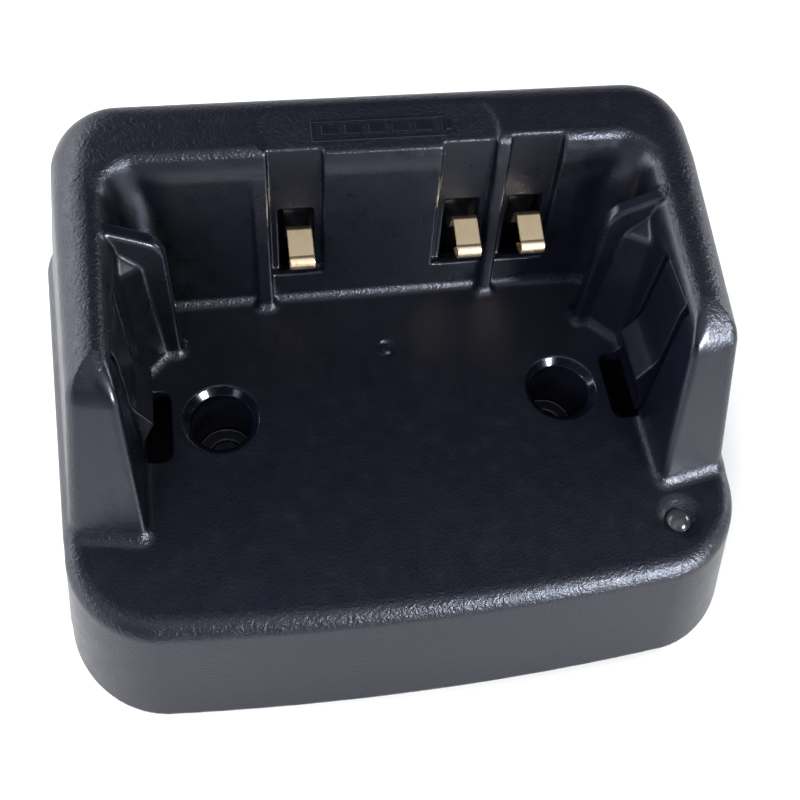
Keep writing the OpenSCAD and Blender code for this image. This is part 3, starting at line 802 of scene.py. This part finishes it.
# ------------------------------------------------------- light pipe and feet
def build_pipe():
    """Barrel, collar and domed top."""
    bottom, top = PIPE_LOW[2], PIPE_HIGH[2]
    barrel, dome = 1.75, 2.122                  # radii
    profile = [
        (0, bottom), (1.55, bottom), (1.72, bottom + 0.15), (1.72, DECK - 3.7),
        (2.55, DECK - 3.7), (2.7, DECK - 3.55), (2.7, DECK - 2.7), (2.55, DECK - 2.57),
        (barrel, DECK - 2.57), (barrel, DECK - 0.3),
    ]
    for k in range(1, 13):
        angle = math.asin(barrel / dome) * (1 - k / 12)
        profile.append((dome * math.sin(angle), min(DECK - 1.5 + dome * math.cos(angle), top)))
    pipe = lathe("pipe_dome", profile, (PIPE_X, PIPE_Y), PIPE)
    place(pipe, "cradle", replaces="light_pipe")


def build_foot(corner):
    """Rubber pad with a shallow recess underneath and a rounded edge."""
    low, high = mm_box("foot_" + corner)
    radius = (high[0] - low[0]) / 2
    bottom, top = low[2], high[2]
    recess = bottom + 0.25
    profile = [(0, recess), (radius - 1.6, recess), (radius - 1.3, bottom),
               (radius - 0.25, bottom), (radius, bottom + 0.45), (radius, top), (0, top)]
    pad = lathe("pad_" + corner, rounded(profile, radius=0.2), ((low + high) / 2)[:2], RUBBER)
    place(pad, "cradle", replaces="foot_" + corner)


# --------------------------------------------------------- kept CAD solids
# node: material, width of the broken edge
FINISH = {
    "bottom_cover": (COVER, 0.3), "contact_carrier": (CARRIER, 0.15),
    "contact_terminals": (TERMINAL, 0.05), "contact_rivets": (RIVET, 0.1),
    "carrier_screws": (SCREW, 0.07), "board_screws": (SCREW, 0.07),
    "case_screws": (SCREW, 0.08), "main_board": (BOARD, 0.05),
    "charge_controller": (CHIP, 0.06), "power_transistor": (CHIP, 0.08),
    "power_inductor": (FERRITE, 0.2), "filter_capacitors": (CAN, 0.15),
    "protection_diode": (CHIP, 0.1), "resettable_fuse": (FUSE, 0.15),
    "chip_resistors": (CHIP, 0.05), "status_led": (LED, 0.05),
    "dc_jack_housing": (JACK, 0.15), "dc_jack_pin": (JACK_METAL, 0.08),
    "dc_jack_spring": (JACK_METAL, 0.03), "lead_negative": (BLACK_WIRE, 0.05),
    "lead_sense": (YELLOW_WIRE, 0.05), "lead_positive": (RED_WIRE, 0.05),
    "rating_label": (LABEL, 0.03),
}


def finish_solid(ob, material, width):
    ob.data.materials.clear()
    ob.data.materials.append(material)
    ob.data.polygons.foreach_set("use_smooth", [True] * len(ob.data.polygons))
    bevel = ob.modifiers.new("edge", "BEVEL")
    bevel.width = width * MM
    bevel.segments = 2
    bevel.limit_method = "ANGLE"
    bevel.angle_limit = math.radians(35)
    bevel.harden_normals = True
    bevel.use_clamp_overlap = True


# -------------------------------------------------------------------- stage
# From here on lengths are in metres.
def floor_material():
    """Pale floor under a painted pool of light, with painted shade darker away from the middle,
    and clear from below.
    """
    g = new_graph("floor")
    mottle = g.noise(g.coords(), scale=14.0)
    pale = g.mix(mottle, (0.86, 0.86, 0.86, 1), (0.89, 0.89, 0.89, 1))
    distance = g.add("VectorMath", {0: g.coords()}, operation="LENGTH").outputs["Value"]
    # painted shade: the floor colour falls to grey from 0.12 m to 0.34 m out from the middle
    colour = g.mix(g.ramp(distance, 0.12, 0.34, to=(0.0, 1.0)), pale, (0.42, 0.42, 0.43, 1))
    g.principled(Base_Color=colour, Roughness=0.85, Specular_IOR_Level=0.2)
    blend = g.add("MixShader", {0: g.add("NewGeometry").outputs["Backfacing"],
                                1: g.nodes["Principled BSDF"].outputs[0],
                                2: g.add("BsdfTransparent").outputs[0]})
    g.link(blend.outputs[0], g.nodes["Material Output"].inputs["Surface"])
    return g.owner


def build_floor():
    material = floor_material()
    half, height = 3.0, FLOOR_Z * MM
    mesh = bpy.data.meshes.new("floor")
    corners = [(-half, -half), (half, -half), (half, half), (-half, half)]
    mesh.from_pydata([(x, y, height) for x, y in corners], [], [(0, 1, 2, 3)])
    ob = link("floor", mesh)
    mesh.materials.append(material)


def softbox(name, at, aim, size, power, tint, glossy=True, diffuse=True):
    light = bpy.data.lights.new(name, "AREA")
    light.shape = "RECTANGLE"
    light.size, light.size_y = size
    light.energy = power
    light.color = tint
    ob = link(name, light)
    ob.location = at
    ob.rotation_euler = (Vector(aim) - Vector(at)).to_track_quat("-Z", "Y").to_euler()
    ob.visible_glossy = glossy
    ob.visible_diffuse = diffuse


def build_lights():
    softbox("key", at=(-0.30, -0.38, 0.36), aim=(-0.02, -0.02, 0.0), size=(0.34, 0.28),
            power=4.6, tint=(1.0, 1.0, 1.0), glossy=False)
    softbox("left", at=(-0.60, 0.05, 0.16), aim=(0, 0.0, 0.01), size=(0.5, 0.22),
            power=1.7, tint=(0.97, 0.98, 1.0))
    softbox("left_back", at=(-0.46, 0.36, 0.30), aim=(-0.02, 0.0, 0.03), size=(0.46, 0.30),
            power=2.1, tint=(0.97, 0.98, 1.0))
    softbox("glint", at=(0.32, -0.43, 0.30), aim=(0.0, 0.0, 0.02), size=(0.14, 0.13),
            power=8.5, tint=(0.92, 0.97, 1.0), diffuse=False)
    softbox("low_right", at=(0.50, 0.10, 0.14), aim=(0.0, 0.0, 0.03), size=(0.14, 0.08),
            power=0.8, tint=(0.95, 0.98, 1.0))
    softbox("fill", at=(0.50, 0.22, 0.40), aim=(0.05, 0.0, 0.0), size=(0.30, 0.30),
            power=0.9, tint=(0.97, 0.98, 1.0), glossy=False)
    softbox("back", at=(0.10, 0.55, 0.46), aim=(0.02, 0.06, 0.0), size=(0.9, 0.40),
            power=4.6, tint=(0.95, 0.97, 1.0), glossy=False)


def build_world():
    """Bright low on the left, dim on the right, a soft panel above the front."""
    world = bpy.data.worlds.new("studio")
    bpy.context.scene.world = world
    g = Graph(world)
    generated = g.add("TexCoord").outputs["Generated"]
    x, y, z = g.add("SeparateXYZ", {"Vector": generated}).outputs
    left = g.ramp(x, -0.8, 0.75, to=(1.0, 0.14))
    low = g.ramp(z, 0.10, 0.42, to=(0.8, 0.045))
    front = g.ramp(y, -0.06, 0.22, to=(1.0, 0.0))
    panel = g.math("MULTIPLY", front, g.ramp(z, 0.66, 0.88, to=(0.0, 1.05)))
    strength = g.math("ADD", g.math("MULTIPLY", left, low), panel)
    g.feed(g.nodes["Background"], {"Strength": strength, "Color": (0.92, 0.95, 1.0, 1)})


def build_camera():
    """Looks down and back from above the front edge."""
    camera = bpy.data.cameras.new("camera")
    camera.lens = 44.86
    camera.sensor_width = 36.0
    camera.clip_start = 0.005
    camera.clip_end = 20
    ob = link("camera", camera)
    ahead = Vector((0.1505, 0.4666, -0.8716)).normalized()
    right = Vector((0.9845, -0.1514, 0.0889))
    right = (right - ahead * right.dot(ahead)).normalized()
    pose = Matrix((right, right.cross(ahead), -ahead)).transposed().to_4x4()
    pose.translation = Vector((-21.11, -67.26, 142.33)) * MM
    ob.matrix_world = pose
    bpy.context.scene.camera = ob
    bpy.context.scene.view_settings.view_transform = "Standard"


build_case()
build_emblem()
build_tongues()
for pole in ("negative", "sense", "positive"):
    build_leaf("contact_blade_" + pole)
build_pipe()
for corner in ("front_left", "front_right", "rear_left", "rear_right"):
    build_foot(corner)
for node, (material, width) in FINISH.items():
    finish_solid(NODES[node], material, width)
build_floor()
build_lights()
build_world()
build_camera()
